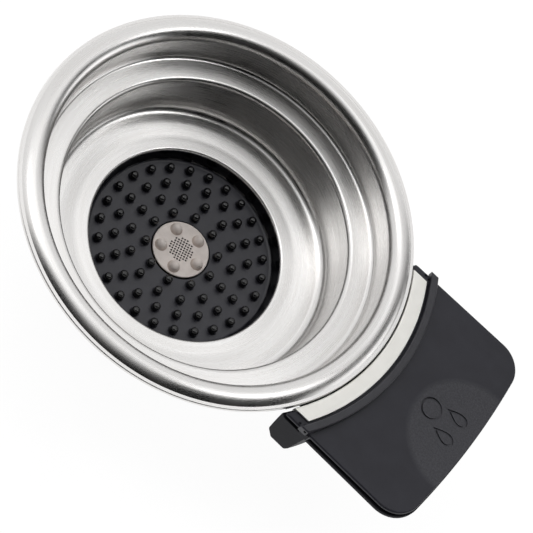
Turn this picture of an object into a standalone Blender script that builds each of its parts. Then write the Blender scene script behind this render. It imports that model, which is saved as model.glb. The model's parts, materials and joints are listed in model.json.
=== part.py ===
"""Holder for two coffee pads, with a short tongue handle.

The pad bowl is pressed from steel sheet and its axis is the Z axis. The handle runs along +X.
Z = 0 is the flat underside of the outlet body, on which the holder stands.
Lengths are written in millimetres and scaled to metres by MM.
"""

import math

import bmesh
import bpy
from mathutils import Matrix, Vector

MM = 0.001
GAP = 0.3  # clearance between two pieces that touch

# Pressed bowl: radii from the bowl's axis and heights above the standing face.
SHEET = 0.6
RIM_RADIUS = 48.0
BEAD_RADIUS = 0.8
CROWN_RADIUS = 44.35  # where the rolled rim is highest
CROWN_Z = 37.35
UPPER_WALL_RADIUS = 41.83
SHOULDER_Z = 27.3
LOWER_WALL_RADIUS = 35.5
BOWL_FLOOR_Z = 13.1
BOWL_HOLE_RADIUS = 24.35

# Brew floor with its nubs, under the bowl's hole.
FLOOR_Z = 8.9
NUB_RINGS = ((10, 9.18), (14, 13.08), (20, 16.99), (26, 20.9))  # (nubs, ring radius)
NUB_RADIUS = 1.0
NUB_HEIGHT = 2.2
FLANGE_RADIUS = 30.6
FLANGE_TOP_Z = 11.1
FLANGE_BOTTOM_Z = 7.2
FLOOR_STUD_CIRCLE = 28.6

# Sieve disc at the middle of the brew floor.
SIEVE_RADIUS = 7.15
SIEVE_BOTTOM_Z = 7.7
SIEVE_TOP_Z = 9.3
SIEVE_BUMPS = 5
SIEVE_BUMP_CIRCLE = 5.1
SIEVE_PITCH = 0.7
SIEVE_HOLE = 0.36
SIEVE_FIELD_RADIUS = 3.1
SIEVE_TURN = math.radians(18.5)

# Outlet body, which closes the brew floor from below.
OUTLET_WALL_RADIUS = 25.2
OUTLET_FLOOR = 1.6
PORT_OFFSET = 14.0
PORT_RADIUS = 2.4

# Carrier: ring under the shoulder, curved beam behind the rim, core inside the handle.
CARRIER_RING = (36.45, 40.6)
CARRIER_RING_Z = (23.0, 26.4)
SHOULDER_STUD_CIRCLE = 39.2
STUD_ANGLES = (90.0, 210.0, 330.0)
STUD_RADIUS = 1.4
LUG_Y = 26.94  # half the width over the two lugs
RIM_FLANGE_Z = (33.6, 34.7)
RIM_FLANGE_Y = 25.0
NUT_WIDTH = 5.5
NUT_HEIGHT = 2.4

# Handle, drawn on its own plane: x from the bowl's axis, z down from the top face.
HANDLE_ROOT_X = 48.0
HANDLE_ROOT_Z = 35.72
HANDLE_TILT = math.radians(2.9)
ROOT_HALF_WIDTH = 26.67
TIP_HALF_WIDTH = 27.1  # the handle widens slightly towards its tip
ROOT_CHAMFER = 1.2
HANDLE_TIP_X = 77.3
HANDLE_CORNER = 7.0
TIP_BOW = 205.0  # radius of the slightly bowed front edge
PLATE = 1.2
PLATE_EDGE = 0.8  # thickness of the top shell's edge, which stands over a groove
GROOVE = 0.9  # depth of the groove between the two shells
PLATE_ROOT = 48.7  # radius at which the top shell starts
POCKET = 0.3
TRIM_SHEET = 0.6
TRIM_INNER, TRIM_OUTER = 48.3, 52.0
TRIM_HALF_WIDTH = 24.5
RIB_INNER, RIB_OUTER = 52.7, 54.55
RIB_HALF_WIDTH = 27.2
RIB_HEIGHT = 1.45
SCOOP_CENTRE_X = 75.6
SCOOP_RADIUS = 14.9
SCOOP_DEPTH = 0.6
LIP_TOP, LIP_BOTTOM = -1.5, -2.9
LIP_PROUD = 0.4
LIP_ROOT = 55.3  # radius at which the bottom shell starts
BELLY_BOTTOM = -8.6
HANDLE_SCREWS = ((61.0, -12.0), (61.0, 12.0), (70.0, -10.0), (70.0, 10.0))

STEPS = 48


# ---------------------------------------------------------------- scene and materials

def clear_scene():
    for obj in list(bpy.data.objects):
        bpy.data.objects.remove(obj, do_unlink=True)


def new_collection(name):
    collection = bpy.data.collections.new(name)
    bpy.context.scene.collection.children.link(collection)
    return collection


def material(name, colour, roughness, metallic=0.0):
    made = bpy.data.materials.new(name)
    made.use_nodes = True
    shader = made.node_tree.nodes["Principled BSDF"]
    shader.inputs["Base Color"].default_value = (*colour, 1.0)
    shader.inputs["Roughness"].default_value = roughness
    shader.inputs["Metallic"].default_value = metallic
    return made


clear_scene()
PARTS = new_collection("pad_holder")
CUTTERS = new_collection("cutters")
STEEL = material("brushed_steel", (0.72, 0.71, 0.69), 0.28, 1.0)
TRIM_STEEL = material("trim_steel", (0.74, 0.73, 0.70), 0.35, 1.0)
BLACK_PLASTIC = material("black_plastic", (0.045, 0.045, 0.05), 0.5)
FLOOR_PLASTIC = material("floor_plastic", (0.035, 0.035, 0.04), 0.3)
BEIGE_PLASTIC = material("beige_plastic", (0.55, 0.49, 0.45), 0.5)
RUBBER = material("black_rubber", (0.02, 0.02, 0.02), 0.8)
ZINC = material("zinc_plate", (0.6, 0.6, 0.62), 0.35, 1.0)


def add_object(name, mesh, finish=None):
    """A named piece when it has a finish, otherwise a cutter or a body that is joined to one."""
    obj = bpy.data.objects.new(name, mesh)
    if finish is None:
        CUTTERS.objects.link(obj)
        obj.hide_render = True
        obj.display_type = "WIRE"
    else:
        PARTS.objects.link(obj)
        mesh.materials.append(finish)
    return obj


# ---------------------------------------------------------------- outlines

def arc(centre, radius, start, end, count):
    """Points on an arc, angles in degrees, both ends included."""
    points = []
    for index in range(count):
        angle = math.radians(start + (end - start) * index / (count - 1))
        points.append((centre[0] + radius * math.cos(angle), centre[1] + radius * math.sin(angle)))
    return points


def signed_area(points):
    following = points[1:] + points[:1]
    return sum(a[0] * b[1] - b[0] * a[1] for a, b in zip(points, following)) / 2


def offset_path(path, distance):
    """The open path moved sideways, to the left of its direction."""
    moved = []
    for index, point in enumerate(path):
        before = Vector(path[max(index - 1, 0)])
        after = Vector(path[min(index + 1, len(path) - 1)])
        along = (after - before).normalized()
        moved.append((point[0] - along.y * distance, point[1] + along.x * distance))
    return moved


def tongue(inner_radius, inset):
    """Handle outline: hollow arc at the bowl, bevelled ends, long sides, round corners, bowed front edge."""
    half_width = TIP_HALF_WIDTH - inset
    root_half_width = ROOT_HALF_WIDTH - inset
    tip_x = HANDLE_TIP_X - inset
    corner = max(HANDLE_CORNER - inset, 1.5)
    bow_centre = tip_x - TIP_BOW
    bow_angle = math.degrees(math.asin((half_width - corner) / (TIP_BOW - corner)))
    corner_x = bow_centre + (TIP_BOW - corner) * math.cos(math.radians(bow_angle))
    root_angle = math.degrees(math.asin((root_half_width - ROOT_CHAMFER) / inner_radius))
    root_x = math.sqrt(inner_radius**2 - root_half_width**2) + ROOT_CHAMFER
    right = arc((corner_x, -half_width + corner), corner, -90, -bow_angle, 7)
    front = arc((bow_centre, 0), TIP_BOW, -bow_angle, bow_angle, 7)[1:-1]
    left = arc((corner_x, half_width - corner), corner, bow_angle, 90, 7)
    root = arc((0, 0), inner_radius, root_angle, -root_angle, 13)
    return right + front + left + [(root_x, root_half_width)] + root + [(root_x, -root_half_width)]


def sector(inner, outer, half_width, count=13):
    """Band between two arcs round the bowl's axis, cut off at y = +-half_width."""
    far = math.degrees(math.asin(half_width / outer))
    near = math.degrees(math.asin(half_width / inner))
    return arc((0, 0), outer, -far, far, count) + arc((0, 0), inner, near, -near, count)


def circle(centre, radius, count=16):
    return arc(centre, radius, 0, 360 - 360 / count, count)


def rectangle(x_range, y_range):
    (x0, x1), (y0, y1) = x_range, y_range
    return [(x0, y0), (x1, y0), (x1, y1), (x0, y1)]


def at_height(outline, z):
    return [(x, y, z) for x, y in outline]


# ---------------------------------------------------------------- solids

def turned(name, profile, finish=None, steps=STEPS, closed=True):
    """Turns a profile of (radius, z) round the Z axis. An open profile has both its ends on the axis."""
    if signed_area(profile) > 0:
        profile = profile[::-1]
    mesh = bpy.data.meshes.new(name)
    vertices = [(radius * MM, 0.0, z * MM) for radius, z in profile]
    edges = [(index, index + 1) for index in range(len(profile) - 1)]
    if closed:
        edges.append((len(profile) - 1, 0))
    mesh.from_pydata(vertices, edges, [])
    obj = add_object(name, mesh, finish)
    screw = obj.modifiers.new("turn", "SCREW")
    screw.steps = steps
    screw.render_steps = steps
    screw.use_merge_vertices = True
    screw.merge_threshold = 0.00001
    return apply_modifiers(obj)


def apply_modifiers(obj):
    """Replaces the object's mesh by the shape that its modifiers make."""
    graph = bpy.context.evaluated_depsgraph_get()
    mesh = bpy.data.meshes.new_from_object(obj.evaluated_get(graph))
    mesh.name = obj.name
    obj.modifiers.clear()
    obj.data = mesh
    return obj


def slab(name, outlines, z_range, finish=None):
    """Flat piece between two heights. Outlines after the first are holes."""
    low, high = z_range
    flat = bpy.data.curves.new(name + "_outline", "CURVE")
    flat.dimensions = "2D"
    flat.fill_mode = "BOTH"
    flat.extrude = (high - low) * MM / 2
    for outline in outlines:
        spline = flat.splines.new("POLY")
        spline.points.add(len(outline) - 1)
        for point, (x, y) in zip(spline.points, outline):
            point.co = (x * MM, y * MM, 0.0, 1.0)
        spline.use_cyclic_u = True
    guide = bpy.data.objects.new(name + "_guide", flat)
    CUTTERS.objects.link(guide)
    graph = bpy.context.evaluated_depsgraph_get()
    mesh = bpy.data.meshes.new_from_object(guide.evaluated_get(graph))
    mesh.name = name
    bpy.data.objects.remove(guide)
    shape = bmesh.new()
    shape.from_mesh(mesh)
    bmesh.ops.remove_doubles(shape, verts=shape.verts, dist=0.000001)
    bmesh.ops.translate(shape, verts=shape.verts, vec=(0, 0, (high + low) * MM / 2))
    bmesh.ops.recalc_face_normals(shape, faces=shape.faces)
    shape.to_mesh(mesh)
    shape.free()
    mesh.materials.clear()
    return add_object(name, mesh, finish)


def loft(name, rings, finish=None):
    """Solid through equal outlines, closed by flat faces at the first and the last."""
    shape = bmesh.new()
    loops = [[shape.verts.new((x * MM, y * MM, z * MM)) for x, y, z in ring] for ring in rings]
    count = len(rings[0])
    for lower, upper in zip(loops, loops[1:]):
        for index in range(count):
            following = (index + 1) % count
            shape.faces.new((lower[index], lower[following], upper[following], upper[index]))
    shape.faces.new(loops[0])
    shape.faces.new(loops[-1])
    bmesh.ops.recalc_face_normals(shape, faces=shape.faces)
    mesh = bpy.data.meshes.new(name)
    shape.to_mesh(mesh)
    shape.free()
    return add_object(name, mesh, finish)


def boolean(obj, other, operation):
    modifier = obj.modifiers.new(operation.lower(), "BOOLEAN")
    modifier.operation = operation
    modifier.solver = "EXACT"
    modifier.object = other
    apply_modifiers(obj)
    bpy.data.objects.remove(other)
    return obj


def cut(obj, other):
    return boolean(obj, other, "DIFFERENCE")


def join(obj, other):
    return boolean(obj, other, "UNION")


def keep(obj, other):
    return boolean(obj, other, "INTERSECT")


def place(obj, matrix):
    """Moves the piece's mesh, so that its origin stays on the bowl's axis."""
    obj.data.transform(matrix)
    return obj


def smooth(obj, degrees=35):
    obj.data.shade_smooth()
    obj.data.set_sharp_from_angle(angle=math.radians(degrees))
    return obj


def at_angle(radius, degrees, z=0.0):
    angle = math.radians(degrees)
    return Matrix.Translation((radius * math.cos(angle) * MM, radius * math.sin(angle) * MM, z * MM))


# Handle pieces are drawn flat, with z = 0 on the handle's top face, and tilted about its root.
TO_HANDLE = (
    Matrix.Translation((HANDLE_ROOT_X * MM, 0, HANDLE_ROOT_Z * MM))
    @ Matrix.Rotation(-HANDLE_TILT, 4, "Y")
    @ Matrix.Translation((-HANDLE_ROOT_X * MM, 0, 0))
)


# ---------------------------------------------------------------- bowl

def bowl_surface():
    """The bowl's inner face, from the underside of the rim's bead down to the edge of the hole."""
    bead = (RIM_RADIUS - BEAD_RADIUS, 35.8)
    path = arc(bead, BEAD_RADIUS, -80, 45, 4)
    path += arc((CROWN_RADIUS, CROWN_Z - 4.18), 4.18, 50, 90, 4)
    path += arc((CROWN_RADIUS, CROWN_Z - 2.52), 2.52, 120, 180, 3)
    path += arc((UPPER_WALL_RADIUS - 1.13, SHOULDER_Z + 1.13), 1.13, 0, -90, 3)
    path += arc((LOWER_WALL_RADIUS + 1.05, SHOULDER_Z - 1.05), 1.05, 90, 180, 3)
    path += arc((LOWER_WALL_RADIUS - 2.2, BOWL_FLOOR_Z + 2.55), 2.2, 0, -90, 4)
    path += [(30.9, BOWL_FLOOR_Z + 0.35), (28.4, BOWL_FLOOR_Z)]
    path += arc((BOWL_HOLE_RADIUS + 0.65, BOWL_FLOOR_Z - 0.65), 0.65, 90, 180, 3)
    return path


def make_bowl():
    inner = bowl_surface()
    outer = offset_path(inner, SHEET)
    smooth(turned("pressed_bowl", inner + outer[::-1], STEEL))


# ---------------------------------------------------------------- brew floor and outlet

def make_nubs():
    """All the nubs as separate bodies of one object, sunk a little into the floor."""
    nub = turned(
        "nub_shape",
        [
            (0, NUB_HEIGHT),
            (NUB_RADIUS * 0.75, NUB_HEIGHT - 0.35),
            (NUB_RADIUS, -0.4),
            (0, -0.4),
        ],
        steps=6,
        closed=False,
    )
    shape = bmesh.new()
    for count, radius in NUB_RINGS:
        for index in range(count):
            copy = nub.data.copy()
            copy.transform(at_angle(radius, 360 * index / count, FLOOR_Z))
            shape.from_mesh(copy)
            bpy.data.meshes.remove(copy)
    bpy.data.objects.remove(nub)
    mesh = bpy.data.meshes.new("nub_field")
    shape.to_mesh(mesh)
    shape.free()
    return add_object("nub_field", mesh)


def make_brew_floor():
    profile = [
        (24.4, FLOOR_Z),
        (24.4, 12.1),
        (25.2, 12.1),
        (25.2, FLANGE_TOP_Z),
        (FLANGE_RADIUS, FLANGE_TOP_Z),
        (FLANGE_RADIUS, FLANGE_BOTTOM_Z),
        (22.9, FLANGE_BOTTOM_Z),
        (22.9, 6.2),
        (6.8, 6.2),
        (6.8, 3.9),
        (3.9, 3.9),
        (3.9, 5.0),
        (5.0, 5.0),
        (5.0, SIEVE_BOTTOM_Z - GAP),
        (SIEVE_RADIUS + GAP, SIEVE_BOTTOM_Z - GAP),
        (SIEVE_RADIUS + GAP, FLOOR_Z),
    ]
    body = turned("brew_floor", profile, FLOOR_PLASTIC, steps=48)
    join(body, make_nubs())
    for degrees in STUD_ANGLES:
        hole = slab("stud_hole", [circle((0, 0), STUD_RADIUS + GAP, 12)], (5, 13))
        cut(body, place(hole, at_angle(FLOOR_STUD_CIRCLE, degrees)))
    smooth(body)


def make_sieve():
    profile = [
        (0, SIEVE_TOP_Z),
        (SIEVE_RADIUS, SIEVE_TOP_Z),
        (SIEVE_RADIUS, SIEVE_BOTTOM_Z),
        (0, SIEVE_BOTTOM_Z),
    ]
    disc = turned("sieve_disc", profile, BEIGE_PLASTIC, steps=32, closed=False)
    for index in range(SIEVE_BUMPS):
        bump = turned("bump", [(0, 1.7), (0.8, 1.4), (1.3, -0.4), (0, -0.4)], steps=8, closed=False)
        join(disc, place(bump, at_angle(SIEVE_BUMP_CIRCLE, 360 * index / SIEVE_BUMPS, SIEVE_TOP_Z)))
    shape = bmesh.new()
    steps = range(-5, 6)
    turn = Matrix.Rotation(SIEVE_TURN, 4, "Z")
    for column in steps:
        for row in steps:
            x, y = column * SIEVE_PITCH, row * SIEVE_PITCH
            if math.hypot(x, y) > SIEVE_FIELD_RADIUS:
                continue
            size = Matrix.Diagonal((SIEVE_HOLE * MM, SIEVE_HOLE * MM, 3 * MM, 1))
            middle = Matrix.Translation((x * MM, y * MM, (SIEVE_TOP_Z + SIEVE_BOTTOM_Z) / 2 * MM))
            bmesh.ops.create_cube(shape, size=1, matrix=turn @ middle @ size)
    mesh = bpy.data.meshes.new("sieve_holes")
    shape.to_mesh(mesh)
    shape.free()
    cut(disc, add_object("sieve_holes", mesh))
    smooth(disc)


def make_gasket():
    profile = [(25.5, 12.2), (26.7, 12.2), (26.7, FLANGE_TOP_Z + GAP), (25.5, FLANGE_TOP_Z + GAP)]
    smooth(turned("floor_gasket", profile, RUBBER, steps=48))


def make_nozzle():
    profile = [
        (0.6, 6.4),
        (3.0, 7.1),
        (4.7, 7.1),
        (4.7, 6.35),
        (3.5, 6.35),
        (3.5, 4.1),
        (0.6, 4.1),
    ]
    smooth(turned("nozzle_insert", profile, BEIGE_PLASTIC, steps=24))
    ring = circle((4.3, 5.68), 0.4, 8)
    smooth(turned("nozzle_o_ring", ring, RUBBER, steps=24), 60)


def make_splash_plate():
    bottom = OUTLET_FLOOR + GAP
    profile = [(0, 3.4), (0.8, 3.2), (1.4, 2.7), (8.5, 2.7), (8.5, bottom), (0, bottom)]
    smooth(turned("splash_plate", profile, BEIGE_PLASTIC, steps=32, closed=False))


def make_outlet_body():
    top = FLANGE_BOTTOM_Z - GAP
    profile = [
        (0, OUTLET_FLOOR),
        (22.2, OUTLET_FLOOR),
        (23.2, 2.6),
        (23.2, top),
        (FLANGE_RADIUS, top),
        (FLANGE_RADIUS, top - 2.0),
        (OUTLET_WALL_RADIUS, top - 2.0),
        (OUTLET_WALL_RADIUS, 1.2),
        (OUTLET_WALL_RADIUS - 1.2, 0),
        (0, 0),
    ]
    body = turned("outlet_body", profile, BLACK_PLASTIC, steps=48, closed=False)
    for side in (-1, 1):
        cut(body, slab("port", [circle((0, side * PORT_OFFSET), PORT_RADIUS)], (-1, 3)))
    for degrees in STUD_ANGLES:
        hole = slab("stud_hole", [circle((0, 0), STUD_RADIUS + GAP, 12)], (3, 9))
        cut(body, place(hole, at_angle(FLOOR_STUD_CIRCLE, degrees)))
    smooth(body)


# ---------------------------------------------------------------- fasteners

def make_stud(name, radius, degrees, low, high):
    stud = turned(
        name,
        [(0, high), (STUD_RADIUS, high), (STUD_RADIUS, low + 0.4), (STUD_RADIUS - 0.4, low), (0, low)],
        ZINC,
        steps=12,
        closed=False,
    )
    smooth(place(stud, at_angle(radius, degrees)))


def make_nut(name, radius, degrees, low):
    """Hexagon nut with two flats square to the radius through it."""
    corner = NUT_WIDTH / math.sqrt(3)
    hexagon = arc((0, 0), corner, 30, 330, 6)
    nut = slab(name, [hexagon, circle((0, 0), STUD_RADIUS + GAP, 12)], (low, low + NUT_HEIGHT), ZINC)
    place(nut, at_angle(radius, degrees) @ Matrix.Rotation(math.radians(degrees), 4, "Z"))


def make_studs_and_nuts():
    shoulder_underside = SHOULDER_Z - SHEET
    under_carrier = CARRIER_RING_Z[0] - GAP
    for number, degrees in enumerate(STUD_ANGLES, 1):
        make_stud(f"shoulder_stud_{number}", SHOULDER_STUD_CIRCLE, degrees, 18.6, shoulder_underside - GAP)
        make_nut(f"shoulder_nut_{number}", SHOULDER_STUD_CIRCLE, degrees, under_carrier - NUT_HEIGHT)
        make_stud(f"floor_stud_{number}", FLOOR_STUD_CIRCLE, degrees, 1.6, 12.1)
        make_nut(f"floor_nut_{number}", FLOOR_STUD_CIRCLE, degrees, 4.9 - GAP - NUT_HEIGHT)


# ---------------------------------------------------------------- carrier

def make_beam():
    """Curved beam behind the rim, whose ends hang down as the two side lugs."""
    inside = [(48.6, 33.9), (49.7, 26.0), (51.0, 23.7)]
    outside = [(54.4, 23.8), (54.8, 25.2), (55.0, 32.4), (55.0, 33.9)]
    beam = turned("beam", inside + outside, steps=72)
    bevel_start = (41.2, LUG_Y - ROOT_CHAMFER)
    bevel_end = (41.2 + ROOT_CHAMFER, LUG_Y)
    limit = []
    for side in (-1, 1):
        end = [(0, LUG_Y - ROOT_CHAMFER), bevel_start, bevel_end, (60, LUG_Y)]
        limit += [(x, side * y) for x, y in end[::side]]
    return keep(beam, slab("beam_limit", [limit], (20, 40)))


def make_carrier():
    ring = slab(
        "carrier_frame",
        [circle((0, 0), CARRIER_RING[1], 48), circle((0, 0), CARRIER_RING[0], 48)],
        CARRIER_RING_Z,
        BLACK_PLASTIC,
    )
    for degrees in STUD_ANGLES:
        pad = slab("stud_pad", [circle((0, 0), 2.6, 16)], CARRIER_RING_Z)
        join(ring, place(pad, at_angle(SHOULDER_STUD_CIRCLE, degrees)))
    join(ring, slab("web", [sector(39.0, 52.5, 14.0)], (23.6, 26.2)))
    join(ring, make_beam())
    join(ring, slab("rim_flange", [sector(44.8, 47.7, RIM_FLANGE_Y)], RIM_FLANGE_Z))
    join(ring, slab("rim_flange_root", [sector(47.0, 50.0, 22.0)], (RIM_FLANGE_Z[0] - 0.1, 33.8)))
    core_outline = sector(54.0, 66.0, 16.5)
    core_holes = [circle(HANDLE_SCREWS[index], 3.6) for index in (0, 1)]
    core = slab("handle_core", [core_outline] + core_holes, (-4.9, -3.1))
    join(ring, place(core, TO_HANDLE))
    for degrees in STUD_ANGLES:
        hole = slab("stud_hole", [circle((0, 0), STUD_RADIUS + GAP, 12)], (20, 28))
        cut(ring, place(hole, at_angle(SHOULDER_STUD_CIRCLE, degrees)))
    smooth(ring)


# ---------------------------------------------------------------- handle

def make_scoop_cutter():
    """Shallow lens, point down, that hollows the handle's front for a thumb."""
    steps = 5
    sphere = (SCOOP_RADIUS**2 + SCOOP_DEPTH**2) / (2 * SCOOP_DEPTH)
    profile = [(0, 2.0), (SCOOP_RADIUS + 2, 2.0), (SCOOP_RADIUS + 2, 0.2)]
    for index in range(steps + 1):
        radius = SCOOP_RADIUS * (1 - index / steps)
        profile.append((radius, math.sqrt(sphere**2 - SCOOP_RADIUS**2) - math.sqrt(sphere**2 - radius**2)))
    cutter = turned("scoop", profile, steps=48, closed=False)
    return place(cutter, Matrix.Translation((SCOOP_CENTRE_X * MM, 0, 0)))


def make_top_shell():
    shell = slab("handle_top_shell", [tongue(PLATE_ROOT, 0)], (-PLATE_EDGE, 0), BLACK_PLASTIC)
    join(shell, slab("plate_core", [tongue(PLATE_ROOT + GROOVE, GROOVE)], (-PLATE, -PLATE_EDGE + 0.3)))
    rib = slab("rib", [sector(RIB_INNER, RIB_OUTER, RIB_HALF_WIDTH, 17)], (-0.6, RIB_HEIGHT))
    join(shell, rib)
    pocket = slab("pocket", [sector(45.0, RIB_INNER, TRIM_HALF_WIDTH + GAP, 17)], (-POCKET, 4))
    cut(shell, pocket)
    cut(shell, slab("hem_room", [sector(45.0, TRIM_INNER + 0.9, TRIM_HALF_WIDTH + GAP, 17)], (-4, 4)))
    cut(shell, make_scoop_cutter())
    for side in (-1, 1):
        angle = 15 * side
        slot = slab("tab_slot", [rectangle((50.5, 51.9), (-3.4, 3.4))], (-4, 1))
        cut(shell, place(slot, Matrix.Rotation(math.radians(angle), 4, "Z")))
    wall = slab("locating_wall", [tongue(58.7, 1.5), tongue(60.1, 3.0)], (-3.6, -PLATE + 0.4))
    cut(wall, slab("core_opening", [rectangle((50, 60.5), (-16.9, 16.9))], (-6, 1)))
    join(shell, wall)
    for x, y in HANDLE_SCREWS:
        join(shell, slab("boss", [circle((x, y), 3.0)], (-5.5, -PLATE + 0.4)))
        cut(shell, slab("pilot", [circle((x, y), 1.5, 12)], (-7, -2.3)))
    smooth(place(shell, TO_HANDLE))


def make_bottom_shell():
    """Open tray: an outer lip under the top shell's edge and a belly that slopes in below it."""
    inner_radius = LIP_ROOT
    rings = [
        at_height(tongue(inner_radius + 1.7, 1.2), LIP_TOP - 0.1),
        at_height(tongue(inner_radius + 0.3, -LIP_PROUD + 0.3), LIP_TOP - 0.1),
        at_height(tongue(inner_radius, -LIP_PROUD), LIP_TOP - 0.5),
        at_height(tongue(inner_radius, -LIP_PROUD), LIP_BOTTOM + 0.3),
        at_height(tongue(inner_radius, -LIP_PROUD + 0.5), LIP_BOTTOM),
        at_height(tongue(inner_radius + 0.6, 5.0), BELLY_BOTTOM + 1.0),
        at_height(tongue(inner_radius + 1.6, 6.6), BELLY_BOTTOM),
    ]
    outside = loft("handle_bottom_shell", rings, BLACK_PLASTIC)
    hollow = [
        at_height(tongue(inner_radius + 1.8, 1.2), LIP_TOP + 0.5),
        at_height(tongue(inner_radius + 1.8, 1.2), -4.0),
        at_height(tongue(inner_radius + 2.2, 6.2), BELLY_BOTTOM + 1.6),
    ]
    cut(outside, loft("tray_hollow", hollow))
    for x, y in HANDLE_SCREWS:
        join(outside, slab("post", [circle((x, y), 4.2)], (BELLY_BOTTOM + 0.4, -5.8)))
    cut(outside, slab("core_opening", [rectangle((50, 60.5), (-16.9, 16.9))], (-5.3, 1)))
    for x, y in HANDLE_SCREWS:
        cut(outside, slab("clearance", [circle((x, y), 1.6, 12)], (-12, 0)))
        cut(outside, slab("counterbore", [circle((x, y), 2.9)], (-12, BELLY_BOTTOM + 1.5)))
    smooth(place(outside, TO_HANDLE), 30)


def make_trim_plate():
    """Flat steel sector with its inner edge turned down and two clinch tabs at its outer edge."""
    flat = sector(TRIM_INNER, TRIM_OUTER, TRIM_HALF_WIDTH, 17)
    turned_edge = sector(TRIM_INNER + 0.12, TRIM_INNER + TRIM_SHEET, TRIM_HALF_WIDTH - 0.4, 17)
    plate = slab("trim_plate", [flat], (0, TRIM_SHEET), TRIM_STEEL)
    join(plate, slab("hem", [turned_edge], (-0.9, 0.4)))
    for side in (-1, 1):
        tab = slab("tab", [rectangle((50.9, 51.5), (-3.0, 3.0))], (-1.5, 0.4))
        join(plate, place(tab, Matrix.Rotation(math.radians(15 * side), 4, "Z")))
    place(plate, TO_HANDLE)


def make_handle_screws():
    for number, (x, y) in enumerate(HANDLE_SCREWS, 1):
        profile = [
            (0, -2.7),
            (0.9, -2.9),
            (1.2, -3.6),
            (1.2, BELLY_BOTTOM + 1.2),
            (2.5, BELLY_BOTTOM + 1.2),
            (2.5, BELLY_BOTTOM + 0.4),
            (0, BELLY_BOTTOM + 0.4),
        ]
        screw = turned(f"handle_screw_{number}", profile, ZINC, steps=12, closed=False)
        place(screw, Matrix.Translation((x * MM, y * MM, 0)))
        smooth(place(screw, TO_HANDLE))


make_bowl()
make_brew_floor()
make_sieve()
make_gasket()
make_nozzle()
make_splash_plate()
make_outlet_body()
make_studs_and_nuts()
make_carrier()
make_top_shell()
make_bottom_shell()
make_trim_plate()
make_handle_screws()
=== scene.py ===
"""Looks of the coffee pad holder: steel bowl, nubbed brew floor, sieve and tongue handle.

The bowl's axis is the Z axis and the handle runs along +X. Z = 0 is the flat underside.
Lengths are written in millimetres and scaled to metres by MM.
"""

import json
import math

import bmesh
import bpy
from mathutils import Matrix, Vector


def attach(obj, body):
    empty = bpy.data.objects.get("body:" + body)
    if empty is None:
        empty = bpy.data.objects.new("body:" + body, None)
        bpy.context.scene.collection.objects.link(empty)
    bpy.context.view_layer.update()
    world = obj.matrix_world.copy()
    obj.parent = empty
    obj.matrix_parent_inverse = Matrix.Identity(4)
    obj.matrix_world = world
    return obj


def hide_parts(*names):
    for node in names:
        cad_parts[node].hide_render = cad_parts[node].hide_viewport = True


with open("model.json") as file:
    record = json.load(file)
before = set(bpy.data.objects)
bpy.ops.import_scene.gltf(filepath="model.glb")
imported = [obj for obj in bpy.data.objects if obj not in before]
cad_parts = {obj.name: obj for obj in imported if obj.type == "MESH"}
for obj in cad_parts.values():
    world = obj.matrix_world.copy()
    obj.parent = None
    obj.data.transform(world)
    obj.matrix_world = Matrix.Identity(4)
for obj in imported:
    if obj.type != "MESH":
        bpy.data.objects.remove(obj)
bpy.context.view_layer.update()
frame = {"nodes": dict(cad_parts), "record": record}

MM = 0.001
GAP = 0.3  # clearance between two pieces that touch

# Pressed bowl: radii from the bowl's axis and heights above the standing face.
SHEET = 0.6
RIM_RADIUS = 48.0
BEAD_RADIUS = 0.8
BEAD_Z = 35.8
CROWN_RADIUS = 44.35
CROWN_Z = 37.35
CROWN_OUTER_BEND, CROWN_INNER_BEND = 4.18, 2.52
UPPER_WALL_RADIUS = 41.83
SHOULDER_Z = 27.3
LOWER_WALL_RADIUS = 35.5
BOWL_FLOOR_Z = 13.1
BOWL_HOLE_RADIUS = 24.15
SHOULDER_FOOT_BEND, SHOULDER_LIP_BEND = 1.13, 1.05  # radii of the bends between the bowl's faces
FLOOR_FOOT_BEND = 2.2
FLOOR_FOOT_RISE = 0.35  # how far the floor ring climbs towards the lower wall
HOLE_LIP_BEND = 0.65

# Brew floor with its nubs. Its lip stands under the edge of the bowl's hole, its flange below the bowl.
FLOOR_Z = 8.9
FLOOR_FLAT_RADIUS = 22.8
FLOOR_LIP_INNER, FLOOR_LIP_OUTER = 24.4, 25.2
FLOOR_LIP_Z = 12.15
SKIRT_RADIUS = 22.9
SKIRT_BOTTOM_Z = 6.2
HUB_RADIUS = 6.8
HUB_BOTTOM_Z = 3.9
HUB_THROAT = 3.9
NOZZLE_SEAT = 5.0  # both the radius and the height of the ledge that the nozzle stands on
NUB_RINGS = ((10, 9.18), (14, 13.08), (20, 16.99), (26, 20.9))  # (nubs, ring radius)
NUB_RADIUS = 1.0
NUB_HEIGHT = 2.1
FLANGE_RADIUS = 30.6
FLANGE_TOP_Z = 11.1
FLANGE_BOTTOM_Z = 7.2

# Sieve disc.
SIEVE_RADIUS = 7.15
SIEVE_BOTTOM_Z = 7.7
SIEVE_TOP_Z = 9.3
SIEVE_BUMPS = 5
SIEVE_BUMP_CIRCLE = 5.1
SIEVE_PITCH = 0.7
SIEVE_HOLE = 0.45
SIEVE_FIELD_RADIUS = 3.1
SIEVE_TURN = math.radians(18.5)

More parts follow.
